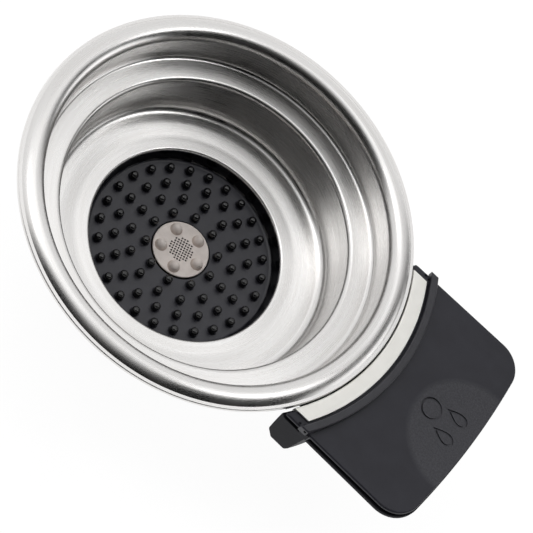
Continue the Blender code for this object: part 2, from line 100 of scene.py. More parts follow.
# Handle, drawn flat before it is tilted: x from the bowl's axis, and z = 0 on the plate's top face.
HANDLE_ROOT_X = 48.0
HANDLE_ROOT_Z = 35.72
HANDLE_TILT = math.radians(2.9)
ROOT_HALF_WIDTH = 26.67
TIP_HALF_WIDTH = 27.1
ROOT_CHAMFER = 1.2
HANDLE_TIP_X = 77.3
HANDLE_CORNER = 7.0
TIP_BOW = 205.0  # radius of the slightly bowed front edge
PLATE = 1.2  # thickness of the top shell
PLATE_EDGE = 0.8  # thickness of the edge that stands over the groove
GROOVE = 0.9  # depth of the groove between the two shells
PLATE_ROOT = 48.7  # radius at which the top shell starts
POCKET = 0.3  # depth of the pocket that the trim lies in
TRIM_SHEET = 0.6
TRIM_INNER, TRIM_OUTER = 48.3, 52.0
TRIM_HALF_WIDTH = 24.5
TRIM_ROLL = 0.35  # radius of the trim's rolled inner edge
TRIM_EDGE_Z = -0.9
RIB_INNER, RIB_OUTER = 52.7, 54.55
RIB_HALF_WIDTH = 27.2
RIB_HEIGHT = 1.45
SCOOP_CENTRE_X = 75.6
SCOOP_RADIUS = 14.9
SCOOP_DEPTH = 0.6
LIP_TOP, LIP_BOTTOM = -1.5, -2.9
LIP_PROUD = 0.4  # how far the lip stands out past the top shell
LIP_ROOT = 55.3  # radius at which the bottom shell starts
HANDLE_SCREWS = ((61.0, -12.0), (61.0, 12.0), (70.0, -10.0), (70.0, 10.0))
BELLY_BOTTOM = -8.6

# Emblem pressed into the handle: a ring above two drops, (x, y) on the handle's plane.
EMBLEM_RING = (65.2, 0.2)
EMBLEM_DROPS = ((71.0, -2.9), (71.0, 3.3))
EMBLEM_RING_FLOOR, EMBLEM_DROP_FLOOR = -0.62, -0.8
EMBLEM_RING_RADIUS = 2.8
EMBLEM_DROP_SIZE = 3.0
EMBLEM_LINE = 0.55  # width of the emblem's lines

# Carrier behind the rim, with a curved beam whose ends are the two side lugs.
CARRIER_RING = (36.45, 40.6)
CARRIER_RING_Z = (23.0, 26.4)
SHOULDER_STUD_CIRCLE = 39.2
STUD_ANGLES = (90.0, 210.0, 330.0)
STUD_RADIUS = 1.4
LUG_Y = 26.94  # half the width over the two lugs
LUG_INSIDE = ((48.2, 33.9), (49.4, 26.0), (51.0, 23.7))  # section of the beam, as (radius, z)
LUG_OUTSIDE = ((54.4, 23.8), (54.8, 25.2), (55.0, 32.4), (55.0, 33.9))
LUG_CORNER_X = 40.5  # where the rounding of a lug's inner corner starts
# Web from the ring to the beam, and the flange under the rim: inner and outer radius, half width, heights.
WEB, WEB_Y, WEB_Z = (40.2, 50.5), 14.0, (23.6, 26.2)
RIM_FLANGE, RIM_FLANGE_Y, RIM_FLANGE_Z = (44.8, 47.7), 25.0, (33.6, 34.7)
FLANGE_ROOT, FLANGE_ROOT_Y, FLANGE_ROOT_Z = (47.0, 49.6), 22.0, (33.7, 33.8)

# Camera: where it stands, where it looks, and how far it is rolled.
CAMERA_PLACE = (-1.0, -207.83, 349.88)
CAMERA_TARGET = (16.99, 6.60, 20.0)
CAMERA_ROLL = 48.92
CAMERA_LENS = 113.62
SENSOR_WIDTH = 36.0

# Studio: a pale floor that glows, and round softboxes in the dark, which fade out over their edges.
# Softboxes are (azimuth, elevation, radius, brightness), with angles in degrees. Most stand behind the
# object. The camera's side stays dim, so the steel keeps its dark bands.
GROUND_Z = -0.2
GROUND_SIZE = 3000.0
FLOOR_GLOW = 0.95
SOFTBOXES = (
    (140, 6, 75, 0.83),
    (27, 6, 22, 1.50),
    (45, 63, 7, 3.6),
    (180, 63, 8, 2.1),
    (110, 78, 16, 0.60),
    (268, 80, 14, 0.20),
)
SOFT_EDGE = 9.0


# ---------------------------------------------------------------- outlines

def arc(centre, radius, start, end, count):
    """Points on an arc, angles in degrees, both ends included."""
    points = []
    for index in range(count):
        angle = math.radians(start + (end - start) * index / (count - 1))
        points.append((centre[0] + radius * math.cos(angle), centre[1] + radius * math.sin(angle)))
    return points


def straight(start, end, spacing):
    """Points along a straight line, without its two ends."""
    count = max(1, round(math.dist(start, end) / spacing))
    points = []
    for index in range(1, count):
        share = index / count
        points.append((start[0] + (end[0] - start[0]) * share, start[1] + (end[1] - start[1]) * share))
    return points


def offset_path(path, distance):
    """The open path moved sideways, to the left of its direction."""
    moved = []
    for index, point in enumerate(path):
        before = Vector(path[max(index - 1, 0)])
        after = Vector(path[min(index + 1, len(path) - 1)])
        along = (after - before).normalized()
        moved.append((point[0] - along.y * distance, point[1] + along.x * distance))
    return moved


def rounded(corners, radius, count=5):
    """Closed outline with its corners rounded, as far as its sides leave room for that."""
    points = []
    for index, corner in enumerate(corners):
        here = Vector(corner)
        to_last = Vector(corners[index - 1]) - here
        to_next = Vector(corners[(index + 1) % len(corners)]) - here
        back, ahead = to_last.normalized(), to_next.normalized()
        half = back.angle(ahead) / 2
        reach = min(radius / math.tan(half), to_last.length * 0.49, to_next.length * 0.49)
        fitted = reach * math.tan(half)
        centre = here + (back + ahead).normalized() * fitted / math.sin(half)
        start, end = here + back * reach - centre, here + ahead * reach - centre
        turn = start.angle_signed(end)
        for step in range(count):
            angle = -turn * step / (count - 1)
            cos, sin = math.cos(angle), math.sin(angle)
            points.append((
                centre.x + start.x * cos - start.y * sin,
                centre.y + start.x * sin + start.y * cos,
            ))
    return points


def bend(start, corner, end, count):
    """Points on a curve that leaves start and reaches end along the two sides of a corner."""
    points = []
    for index in range(count):
        share = index / (count - 1)
        of_start, of_end = (1 - share) ** 2, share**2
        of_corner = 2 * share * (1 - share)
        points.append(tuple(
            start[axis] * of_start + corner[axis] * of_corner + end[axis] * of_end for axis in (0, 1)
        ))
    return points


def tongue(inner_radius, inset, chamfer=ROOT_CHAMFER):
    """Handle outline: hollow arc at the bowl, rounded ends, long sides, round corners, bowed front edge."""
    half_width = TIP_HALF_WIDTH - inset
    root_half_width = ROOT_HALF_WIDTH - inset
    tip_x = HANDLE_TIP_X - inset
    corner = max(HANDLE_CORNER - inset, 1.5)
    bow_centre = tip_x - TIP_BOW
    bow_angle = math.degrees(math.asin((half_width - corner) / (TIP_BOW - corner)))
    corner_x = bow_centre + (TIP_BOW - corner) * math.cos(math.radians(bow_angle))
    root_angle = math.degrees(math.asin((root_half_width - chamfer) / inner_radius))
    corner_root_x = math.sqrt(inner_radius**2 - root_half_width**2)
    right = arc((corner_x, -half_width + corner), corner, -90, -bow_angle, 16)
    front = arc((bow_centre, 0), TIP_BOW, -bow_angle, bow_angle, 24)[1:-1]
    left = arc((corner_x, half_width - corner), corner, bow_angle, 90, 16)
    root = arc((0, 0), inner_radius, root_angle, -root_angle, 48)
    side = (corner_root_x + chamfer, root_half_width)
    left_root = bend(side, (corner_root_x, root_half_width), root[0], 7)[:-1]
    right_root = [(x, -y) for x, y in left_root[::-1]]
    return right + front + left + left_root + root + right_root


def sector(inner, outer, half_width, count=65):
    """Band between two arcs round the bowl's axis, cut off at y = +-half_width."""
    far = math.degrees(math.asin(half_width / outer))
    near = math.degrees(math.asin(half_width / inner))
    return arc((0, 0), outer, -far, far, count) + arc((0, 0), inner, near, -near, count)


def circle(centre, radius):
    count = 48
    return arc(centre, radius, 0, 360 - 360 / count, count)


def rectangle(x_range, y_range):
    (x0, x1), (y0, y1) = x_range, y_range
    return [(x0, y0), (x1, y0), (x1, y1), (x0, y1)]


def at_height(outline, z):
    return [(x, y, z) for x, y in outline]


# ---------------------------------------------------------------- solids

def new_object(name, shape):
    """Object of a bmesh, with its normals outward."""
    bmesh.ops.recalc_face_normals(shape, faces=shape.faces)
    mesh = bpy.data.meshes.new(name)
    shape.to_mesh(mesh)
    shape.free()
    obj = bpy.data.objects.new(name, mesh)
    bpy.context.scene.collection.objects.link(obj)
    return obj


def turned(name, profile, steps, closed=True):
    """Turns a profile of (radius, z) round the Z axis. A point on the axis becomes one vertex."""
    shape = bmesh.new()
    loops = []
    for radius, z in profile:
        if radius < 1e-6:
            loops.append([shape.verts.new((0, 0, z * MM))])
            continue
        ring = []
        for index in range(steps):
            angle = 2 * math.pi * index / steps
            x, y = radius * math.cos(angle), radius * math.sin(angle)
            ring.append(shape.verts.new((x * MM, y * MM, z * MM)))
        loops.append(ring)
    following = loops[1:] + (loops[:1] if closed else [])
    for lower, upper in zip(loops, following):
        for index in range(steps):
            after = (index + 1) % steps
            corners = [lower[index % len(lower)], lower[after % len(lower)]]
            corners += [upper[after % len(upper)], upper[index % len(upper)]]
            unique = list(dict.fromkeys(corners))
            if len(unique) > 2:
                shape.faces.new(unique)
    return new_object(name, shape)


def loft(name, rings):
    """Skin through outlines of equal length, capped at both ends."""
    shape = bmesh.new()
    loops = [[shape.verts.new((x * MM, y * MM, z * MM)) for x, y, z in ring] for ring in rings]
    count = len(rings[0])
    for lower, upper in zip(loops, loops[1:]):
        for index in range(count):
            after = (index + 1) % count
            shape.faces.new((lower[index], lower[after], upper[after], upper[index]))
    shape.faces.new(loops[0])
    shape.faces.new(loops[-1])
    return new_object(name, shape)


def slab(name, outline, z_range):
    return loft(name, [at_height(outline, z_range[0]), at_height(outline, z_range[1])])


def apply_modifiers(obj):
    graph = bpy.context.evaluated_depsgraph_get()
    mesh = bpy.data.meshes.new_from_object(obj.evaluated_get(graph))
    obj.modifiers.clear()
    obj.data = mesh
    return obj


def boolean(obj, other, operation):
    modifier = obj.modifiers.new(operation.lower(), "BOOLEAN")
    modifier.operation = operation
    modifier.solver = "EXACT"
    modifier.object = other
    apply_modifiers(obj)
    bpy.data.objects.remove(other)
    return obj


def cut(obj, other):
    return boolean(obj, other, "DIFFERENCE")


def join(obj, other):
    return boolean(obj, other, "UNION")


def keep(obj, other):
    return boolean(obj, other, "INTERSECT")


def bevel(obj, width, segments=3, degrees=32):
    """Rounds every edge that turns by more than the given angle."""
    modifier = obj.modifiers.new("bevel", "BEVEL")
    modifier.width = width * MM
    modifier.segments = segments
    modifier.limit_method = "ANGLE"
    modifier.angle_limit = math.radians(degrees)
    modifier.miter_outer = "MITER_ARC"
    return apply_modifiers(obj)


def smooth(obj, degrees=38):
    """Smooth shading with flat faces kept flat."""
    obj.data.shade_smooth()
    obj.data.set_sharp_from_angle(angle=math.radians(degrees))
    weighted = obj.modifiers.new("weighted", "WEIGHTED_NORMAL")
    weighted.keep_sharp = True
    weighted.weight = 80
    return apply_modifiers(obj)


def at_angle(radius, degrees, z=0.0):
    """Move from the Z axis to a place on a circle round it."""
    angle = math.radians(degrees)
    return Matrix.Translation((radius * math.cos(angle) * MM, radius * math.sin(angle) * MM, z * MM))


def place(obj, matrix):
    obj.data.transform(matrix)
    return obj


TO_HANDLE = (
    Matrix.Translation((HANDLE_ROOT_X * MM, 0, HANDLE_ROOT_Z * MM))
    @ Matrix.Rotation(-HANDLE_TILT, 4, "Y")
    @ Matrix.Translation((-HANDLE_ROOT_X * MM, 0, 0))
)


# ---------------------------------------------------------------- materials

class Nodes:
    """Short names for building one material's node tree."""

    def __init__(self, name):
        self.material = bpy.data.materials.new(name)
        self.material.use_nodes = True
        self.tree = self.material.node_tree
        self.shader = self.tree.nodes["Principled BSDF"]

    def add(self, kind, inputs=(), **settings):
        node = self.tree.nodes.new("ShaderNode" + kind)
        for key, value in settings.items():
            setattr(node, key, value)
        for key, value in dict(inputs).items():
            self.give(node, key, value)
        return node

    def give(self, node, key, value):
        """Links a socket, or sets a plain value on it."""
        if isinstance(value, bpy.types.NodeSocket):
            self.tree.links.new(value, node.inputs[key])
        else:
            node.inputs[key].default_value = value

    def math(self, operation, *values):
        node = self.add("Math", operation=operation)
        for index, value in enumerate(values):
            self.give(node, index, value)
        return node.outputs[0]

    def position(self):
        """Position in the object's own axes, in millimetres."""
        coordinates = self.add("TexCoord").outputs["Object"]
        scaled = self.add("VectorMath", operation="SCALE", inputs={0: coordinates, "Scale": 1 / MM})
        return scaled.outputs[0]

    def noise(self, vector, scale, detail=2.0, roughness=0.5):
        inputs = {"Vector": vector, "Scale": scale, "Detail": detail, "Roughness": roughness}
        node = self.add("TexNoise", inputs)
        return node.outputs["Fac"]

    def spread(self, value, low, high, start=0.3, end=0.7):
        """Value moved from start..end to low..high."""
        node = self.add("MapRange", {"Value": value, 1: start, 2: end, 3: low, 4: high})
        return node.outputs[0]

    def mix(self, share, first, second):
        node = self.add("Mix", {"Factor": share}, data_type="RGBA")
        for socket, value in zip((6, 7), (first, second)):
            self.give(node, socket, value)
        return node.outputs[2]

    def bump(self, height, strength, distance, normal=None):
        inputs = {"Height": height, "Strength": strength, "Distance": distance * MM}
        if normal is not None:
            inputs["Normal"] = normal
        return self.add("Bump", inputs).outputs[0]

    def set(self, **values):
        for key, value in values.items():
            self.give(self.shader, key.replace("_", " "), value)


def turned_grain(nodes, along, across):
    """Vector for a noise that is drawn out round the bowl's axis."""
    x, y, z = nodes.add("SeparateXYZ", {0: nodes.position()}).outputs
    squares = nodes.math("ADD", nodes.math("MULTIPLY", x, x), nodes.math("MULTIPLY", y, y))
    radius = nodes.math("SQRT", squares)
    cos = nodes.math("DIVIDE", x, nodes.math("MAXIMUM", radius, 0.01))
    sin = nodes.math("DIVIDE", y, nodes.math("MAXIMUM", radius, 0.01))
    level = nodes.math("ADD", radius, nodes.math("MULTIPLY", z, 1.37))
    joined = nodes.add("CombineXYZ", {
        0: nodes.math("MULTIPLY", cos, along),
        1: nodes.math("MULTIPLY", sin, along),
        2: nodes.math("MULTIPLY", level, across),
    })
    return joined.outputs[0]


def brushed_steel():
    nodes = Nodes("brushed_steel")
    lines = nodes.noise(turned_grain(nodes, 2.5, 5.5), 1.0, 4.0, 0.7)
    bands = nodes.noise(turned_grain(nodes, 1.5, 1.1), 1.0, 2.0)
    patches = nodes.noise(nodes.position(), 0.12, 3.0)
    tint = nodes.mix(nodes.spread(bands, 0.0, 1.0), (0.80, 0.785, 0.77, 1), (0.86, 0.85, 0.84, 1))
    nodes.set(Base_Color=tint, Metallic=1.0)
    rough = nodes.math("ADD", nodes.spread(lines, 0.24, 0.32), nodes.spread(patches, -0.02, 0.02))
    nodes.set(Roughness=rough, Normal=nodes.bump(lines, 0.08, 0.02))
    nodes.set(Anisotropic=0.5, Anisotropic_Rotation=0.25)
    nodes.set(Tangent=nodes.add("Tangent", direction_type="RADIAL", axis="Z").outputs[0])
    return nodes.material


def trim_steel():
    nodes = Nodes("trim_steel")
    lines = nodes.noise(turned_grain(nodes, 5.0, 14.0), 1.0, 3.0, 0.7)
    patches = nodes.noise(nodes.position(), 0.3, 3.0)
    tint = nodes.mix(nodes.spread(patches, 0.0, 1.0), (0.92, 0.91, 0.87, 1), (0.96, 0.95, 0.91, 1))
    nodes.set(Base_Color=tint, Metallic=1.0, Roughness=nodes.spread(lines, 0.5, 0.6))
    nodes.set(Normal=nodes.bump(lines, 0.15, 0.02))
    return nodes.material


def scooped_plastic():
    """Black plastic of the top shell, with a coarser and slightly paler grain inside the thumb scoop."""
    nodes = Nodes("scooped_plastic")
    position = nodes.position()
    middle = TO_HANDLE @ Vector((SCOOP_CENTRE_X * MM, 0, 0)) / MM
    from_middle = nodes.add("VectorMath", {0: position, 1: middle}, operation="DISTANCE").outputs["Value"]
    inside = nodes.spread(from_middle, 1.0, 0.0, SCOOP_RADIUS - 1.4, SCOOP_RADIUS + 0.2)
    grain = nodes.noise(position, 7.0, 3.0, 0.6)
    leather = nodes.noise(position, 2.6, 4.0, 0.65)
    wear = nodes.noise(position, 0.18, 3.0)
    plain = nodes.mix(nodes.spread(wear, 0.0, 1.0), (0.023, 0.023, 0.032, 1), (0.030, 0.030, 0.041, 1))
    pale = nodes.mix(nodes.spread(leather, 0.0, 1.0), (0.042, 0.042, 0.051, 1), (0.082, 0.082, 0.094, 1))
    nodes.set(Base_Color=nodes.mix(inside, plain, pale), Specular_IOR_Level=0.35)
    coarser = nodes.math("MULTIPLY", inside, 0.06)
    nodes.set(Roughness=nodes.math("ADD", nodes.spread(grain, 0.42, 0.52), coarser))
    strength = nodes.spread(inside, 0.0, 0.5, 0.0, 1.0)
    fine = nodes.bump(grain, 0.25, 0.02)
    nodes.set(Normal=nodes.bump(leather, strength, 0.06, fine))
    return nodes.material


def rib_plastic():
    """Black plastic that hands have polished, on the rib behind the trim."""
    nodes = Nodes("rib_plastic")
    position = nodes.position()
    grain = nodes.noise(position, 7.0, 3.0, 0.6)
    wear = nodes.noise(position, 0.3, 3.0)
    tint = nodes.mix(nodes.spread(wear, 0.0, 1.0), (0.024, 0.024, 0.032, 1), (0.034, 0.034, 0.044, 1))
    nodes.set(Base_Color=tint, Roughness=nodes.spread(grain, 0.30, 0.38), Specular_IOR_Level=0.5)
    nodes.set(Normal=nodes.bump(grain, 0.2, 0.02))
    return nodes.material


def black_plastic():
    """Black plastic of the pieces round and under the handle's plate, a darker black than the top shell's
    as painted shade on these sides and undersides.
    """
    nodes = Nodes("black_plastic")
    position = nodes.position()
    grain = nodes.noise(position, 7.0, 3.0, 0.6)
    wear = nodes.noise(position, 0.18, 3.0)
    # Darker black than the top shell's: painted shade on the pieces at the handle's sides and underneath.
    tint = nodes.mix(nodes.spread(wear, 0.0, 1.0), (0.009, 0.009, 0.013, 1), (0.013, 0.013, 0.018, 1))
    nodes.set(Base_Color=tint, Roughness=nodes.spread(grain, 0.5, 0.6), Specular_IOR_Level=0.15)
    nodes.set(Normal=nodes.bump(grain, 0.25, 0.02))
    return nodes.material


def floor_plastic():
    """Black plastic, satin and slightly blue on the flat, glossy and deeper on the nubs' tips."""
    nodes = Nodes("floor_plastic")
    position = nodes.position()
    grain = nodes.noise(position, 2.2, 3.0, 0.6)
    film = nodes.noise(position, 0.35, 2.0)
    height = nodes.add("SeparateXYZ", {0: position}).outputs[2]
    raised = nodes.spread(height, 0.0, 1.0, FLOOR_Z + 0.1, FLOOR_Z + 0.5)
    flat = nodes.mix(nodes.spread(film, 0.0, 1.0), (0.016, 0.016, 0.026, 1), (0.022, 0.022, 0.033, 1))
    nodes.set(Base_Color=nodes.mix(raised, flat, (0.004, 0.004, 0.005, 1)))
    flat_rough = nodes.spread(grain, 0.38, 0.46)
    shine = nodes.spread(grain, 0.10, 0.14)
    kept = nodes.math("MULTIPLY", flat_rough, nodes.math("SUBTRACT", 1.0, raised))
    nodes.set(Roughness=nodes.math("ADD", kept, nodes.math("MULTIPLY", shine, raised)))
    nodes.set(Specular_IOR_Level=0.65, Normal=nodes.bump(grain, 0.06, 0.02))
    return nodes.material


def beige_plastic(name="beige_plastic", foot=1.0):
    """Beige plastic with painted shade: near-black below the sieve's top face, in the holes and down the
    disc's edge, and, for a foot below 1, brown round the bumps' feet.
    """
    nodes = Nodes(name)
    position = nodes.position()
    grain = nodes.noise(position, 5.0, 3.0, 0.6)
    tone = nodes.noise(position, 0.5, 2.0)
    height = nodes.add("SeparateXYZ", {0: position}).outputs[2]
    # Share of the own beige: foot at the sieve's top face, rising to 1 a millimetre higher. The rest is
    # brown painted shade round the bumps' feet.
    unshaded_share = nodes.spread(height, foot, 1.0, SIEVE_TOP_Z, SIEVE_TOP_Z + 1.0)
    out_of_hole = nodes.spread(height, 0.0, 1.0, SIEVE_TOP_Z - 0.35, SIEVE_TOP_Z - 0.1)
    tint = nodes.mix(nodes.spread(tone, 0.0, 1.0), (0.84, 0.76, 0.71, 1), (0.94, 0.86, 0.81, 1))
    # Brown painted shade, mixed in where that share is below 1.
    tint_with_painted_shade = nodes.mix(unshaded_share, (0.42, 0.28, 0.21, 1), tint)
    # Near-black painted shade below the sieve's top face: on the holes' walls and down the disc's rounded
    # edge and side.
    nodes.set(Base_Color=nodes.mix(out_of_hole, (0.035, 0.024, 0.018, 1), tint_with_painted_shade))
    nodes.set(Roughness=nodes.spread(grain, 0.36, 0.46), Normal=nodes.bump(grain, 0.15, 0.02))
    return nodes.material


def black_rubber():
    nodes = Nodes("black_rubber")
    grain = nodes.noise(nodes.position(), 6.0, 4.0, 0.6)
    tint = nodes.mix(nodes.spread(grain, 0.0, 1.0), (0.016, 0.016, 0.017, 1), (0.026, 0.026, 0.027, 1))
    nodes.set(Base_Color=tint, Roughness=nodes.spread(grain, 0.6, 0.8), Normal=nodes.bump(grain, 0.2, 0.03))
    return nodes.material


def zinc_plate():
    nodes = Nodes("zinc_plate")
    position = nodes.position()
    grain = nodes.noise(position, 3.0, 4.0, 0.6)
    tone = nodes.noise(position, 0.8)
    tint = nodes.mix(nodes.spread(tone, 0.0, 1.0), (0.56, 0.57, 0.60, 1), (0.68, 0.69, 0.70, 1))
    nodes.set(Base_Color=tint, Metallic=1.0, Roughness=nodes.spread(grain, 0.25, 0.42))
    nodes.set(Normal=nodes.bump(grain, 0.15, 0.02))
    return nodes.material


def floor_paper():
    nodes = Nodes("floor_paper")
    grain = nodes.noise(nodes.position(), 0.05, 2.0)
    tint = nodes.mix(nodes.spread(grain, 0.0, 1.0), (0.10, 0.10, 0.10, 1), (0.12, 0.12, 0.12, 1))
    nodes.set(Base_Color=tint, Roughness=0.9, Emission_Color=(1, 1, 1, 1), Emission_Strength=FLOOR_GLOW)
    return nodes.material


MATERIALS = {
    "brushed_steel": brushed_steel(),
    "trim_steel": trim_steel(),
    "black_plastic": black_plastic(),
    "floor_plastic": floor_plastic(),
    "beige_plastic": beige_plastic(),
    "black_rubber": black_rubber(),
    "zinc_plate": zinc_plate(),
}
PLATE_PLASTIC = scooped_plastic()
RIB_PLASTIC = rib_plastic()
# Beige plastic with a brown painted shade round the bumps' feet.
BUMP_PLASTIC_PAINTED_SHADE = beige_plastic("bump_plastic_painted_shade", 0.45)


def finish_piece(obj, slot, *nodes, look=None):
    """Gives a piece its material and lets it ride, standing for the named CAD nodes."""
    obj.data.materials.clear()
    obj.data.materials.append(look or MATERIALS[slot])
    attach(obj, "root")
    if nodes:
        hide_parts(*nodes)
    return obj


# ---------------------------------------------------------------- bowl

def bowl_surface():
    """The bowl's inner face, from the underside of the rim's bead down to the edge of the hole."""
    bead = (RIM_RADIUS - BEAD_RADIUS, BEAD_Z)
    crown_outside = (CROWN_RADIUS, CROWN_Z - CROWN_OUTER_BEND)
    crown_inside = (CROWN_RADIUS, CROWN_Z - CROWN_INNER_BEND)
    shoulder_foot = (UPPER_WALL_RADIUS - SHOULDER_FOOT_BEND, SHOULDER_Z + SHOULDER_FOOT_BEND)
    shoulder_lip = (LOWER_WALL_RADIUS + SHOULDER_LIP_BEND, SHOULDER_Z - SHOULDER_LIP_BEND)
    floor_foot = (LOWER_WALL_RADIUS - FLOOR_FOOT_BEND, BOWL_FLOOR_Z + FLOOR_FOOT_BEND + FLOOR_FOOT_RISE)
    hole_lip = (BOWL_HOLE_RADIUS + HOLE_LIP_BEND, BOWL_FLOOR_Z - HOLE_LIP_BEND)
    arcs = [
        arc(bead, BEAD_RADIUS, -80, 48, 17),
        arc(crown_outside, CROWN_OUTER_BEND, 50, 90, 15),
        arc(crown_inside, CROWN_INNER_BEND, 93, 180, 22),
        arc(shoulder_foot, SHOULDER_FOOT_BEND, 0, -90, 14),
        arc(shoulder_lip, SHOULDER_LIP_BEND, 90, 180, 14),
        arc(floor_foot, FLOOR_FOOT_BEND, 0, -90, 16),
        [(30.9, BOWL_FLOOR_Z + FLOOR_FOOT_RISE), (28.4, BOWL_FLOOR_Z)],
        arc(hole_lip, HOLE_LIP_BEND, 90, 180, 12),
    ]
    path = arcs[0]
    for following in arcs[1:]:
        path = path + straight(path[-1], following[0], 1.2) + following
    return path


def make_bowl():
    inner = bowl_surface()
    outer = offset_path(inner, SHEET)
    bowl = turned("bowl", inner + outer[::-1], 320)
    finish_piece(smooth(bowl), "brushed_steel", "pressed_bowl")


# ---------------------------------------------------------------- brew floor

def floor_profile():
    """Section of the brew floor, from its flat disc out over the lip and flange and back under it."""
    return [
        (FLOOR_FLAT_RADIUS + 0.8, FLOOR_Z + 0.4),
        (FLOOR_FLAT_RADIUS + 1.1, FLOOR_Z + 1.0),
        (FLOOR_LIP_INNER - 0.1, FLOOR_LIP_Z - 0.35),
        (FLOOR_LIP_INNER, FLOOR_LIP_Z - 0.1),
        (FLOOR_LIP_INNER + 0.1, FLOOR_LIP_Z),
        (FLOOR_LIP_OUTER - 0.1, FLOOR_LIP_Z),
        (FLOOR_LIP_OUTER, FLOOR_LIP_Z - 0.1),
        (FLOOR_LIP_OUTER, FLANGE_TOP_Z),
        (FLANGE_RADIUS - 0.3, FLANGE_TOP_Z),
        (FLANGE_RADIUS, FLANGE_TOP_Z - 0.3),
        (FLANGE_RADIUS, FLANGE_BOTTOM_Z + 0.3),
        (FLANGE_RADIUS - 0.3, FLANGE_BOTTOM_Z),
        (SKIRT_RADIUS, FLANGE_BOTTOM_Z),
        (SKIRT_RADIUS, SKIRT_BOTTOM_Z),
        (HUB_RADIUS, SKIRT_BOTTOM_Z),
        (HUB_RADIUS, HUB_BOTTOM_Z),
        (HUB_THROAT, HUB_BOTTOM_Z),
        (HUB_THROAT, NOZZLE_SEAT),
        (NOZZLE_SEAT, NOZZLE_SEAT),
        (NOZZLE_SEAT, SIEVE_BOTTOM_Z - GAP),
        (SIEVE_RADIUS + GAP, SIEVE_BOTTOM_Z - GAP),
        (SIEVE_RADIUS + GAP, FLOOR_Z - 0.1),
        (SIEVE_RADIUS + GAP + 0.1, FLOOR_Z),
        (FLOOR_FLAT_RADIUS, FLOOR_Z),
        (FLOOR_FLAT_RADIUS + 0.5, FLOOR_Z + 0.13),
    ]


def nub_profile():
    """Section of one nub, with a flared foot and a domed tip."""
    dome = NUB_RADIUS * 0.8
    foot = NUB_RADIUS + 0.25
    side = [(foot, -0.3), (foot, 0.0), (NUB_RADIUS + 0.08, 0.09), (NUB_RADIUS, 0.3)]
    top = arc((NUB_RADIUS - dome, NUB_HEIGHT - dome), dome, 0, 90, 10)
    return side + top + [(0.0, NUB_HEIGHT)]


def make_nubs():
    nub = turned("nub_shape", nub_profile(), 28, closed=False)
    shape = bmesh.new()
    for count, radius in NUB_RINGS:
        for index in range(count):
            copy = nub.data.copy()
            copy.transform(at_angle(radius, 360 * index / count, FLOOR_Z))
            shape.from_mesh(copy)
            bpy.data.meshes.remove(copy)
    bpy.data.objects.remove(nub)
    finish_piece(smooth(new_object("floor_nubs", shape), 60), "floor_plastic")


def make_brew_floor():
    floor = turned("floor_dish", floor_profile(), 192)
    finish_piece(smooth(floor), "floor_plastic", "brew_floor")
    make_nubs()


def make_sieve_holes():
    """Cutter for the grid of square holes in the middle of the sieve."""
    turn = Matrix.Rotation(SIEVE_TURN, 4, "Z")
    shape = bmesh.new()
    middle_z = (SIEVE_TOP_Z + SIEVE_BOTTOM_Z) / 2
    for column in range(-5, 6):
        for row in range(-5, 6):
            x, y = column * SIEVE_PITCH, row * SIEVE_PITCH
            if math.hypot(x, y) > SIEVE_FIELD_RADIUS:
                continue
            size = Matrix.Diagonal((SIEVE_HOLE * MM, SIEVE_HOLE * MM, 3 * MM, 1))
            middle = Matrix.Translation((x * MM, y * MM, middle_z * MM))
            bmesh.ops.create_cube(shape, size=1, matrix=turn @ middle @ size)
    return new_object("sieve_holes", shape)


def make_sieve_bumps():
    dome = [(1.75, -0.2), (1.55, 0.02), (1.4, 0.2), (1.3, 0.5)] + arc((0, 0.6), 1.22, 0, 90, 10)
    for index in range(SIEVE_BUMPS):
        bump = turned(f"sieve_bump_{index + 1}", dome, 32, closed=False)
        place(bump, at_angle(SIEVE_BUMP_CIRCLE, 360 * index / SIEVE_BUMPS, SIEVE_TOP_Z))
        finish_piece(smooth(bump, 60), "beige_plastic", look=BUMP_PLASTIC_PAINTED_SHADE)


def make_sieve():
    rim = 0.25
    outline = arc((SIEVE_RADIUS - rim, SIEVE_TOP_Z - rim), rim, 0, 90, 6)
    profile = [(0, SIEVE_BOTTOM_Z), (SIEVE_RADIUS, SIEVE_BOTTOM_Z)] + outline + [(0, SIEVE_TOP_Z)]
    disc = turned("sieve", profile, 96, closed=False)
    cut(disc, make_sieve_holes())
    finish_piece(smooth(disc), "beige_plastic", "sieve_disc")
    make_sieve_bumps()


# ---------------------------------------------------------------- handle

def edge_rings(outline_at, top, bottom, round_top, round_bottom, count=5):
    """Outlines from the bottom face up over a side with two rounded edges. outline_at takes an inset."""
    rings = []
    for index in range(count):
        angle = math.radians(90 * index / (count - 1))
        inset = round_bottom * (1 - math.sin(angle))
        rings.append(at_height(outline_at(inset), bottom + round_bottom * (1 - math.cos(angle))))
    for index in range(count):
        angle = math.radians(90 * index / (count - 1))
        inset = round_top * (1 - math.cos(angle))
        rings.append(at_height(outline_at(inset), top - round_top * (1 - math.sin(angle))))
    return rings


def make_scoop_cutter():
    steps = 24
    sphere = (SCOOP_RADIUS**2 + SCOOP_DEPTH**2) / (2 * SCOOP_DEPTH)
    profile = [(0, 2.0), (SCOOP_RADIUS + 2, 2.0), (SCOOP_RADIUS + 2, 0.2)]
    for index in range(steps + 1):
        radius = SCOOP_RADIUS * (1 - index / steps)
        profile.append((radius, math.sqrt(sphere**2 - SCOOP_RADIUS**2) - math.sqrt(sphere**2 - radius**2)))
    cutter = turned("scoop", profile, 160, closed=False)
    return place(cutter, Matrix.Translation((SCOOP_CENTRE_X * MM, 0, 0)))


def drop(centre, size):
    """Drop outline with its point towards the bowl."""
    points = []
    for index in range(40):
        angle = 2 * math.pi * index / 40
        width = math.sin(angle) * math.sin(angle / 2) ** 1.4
        points.append((centre[0] - size * math.cos(angle), centre[1] + size * 0.75 * width))
    return points


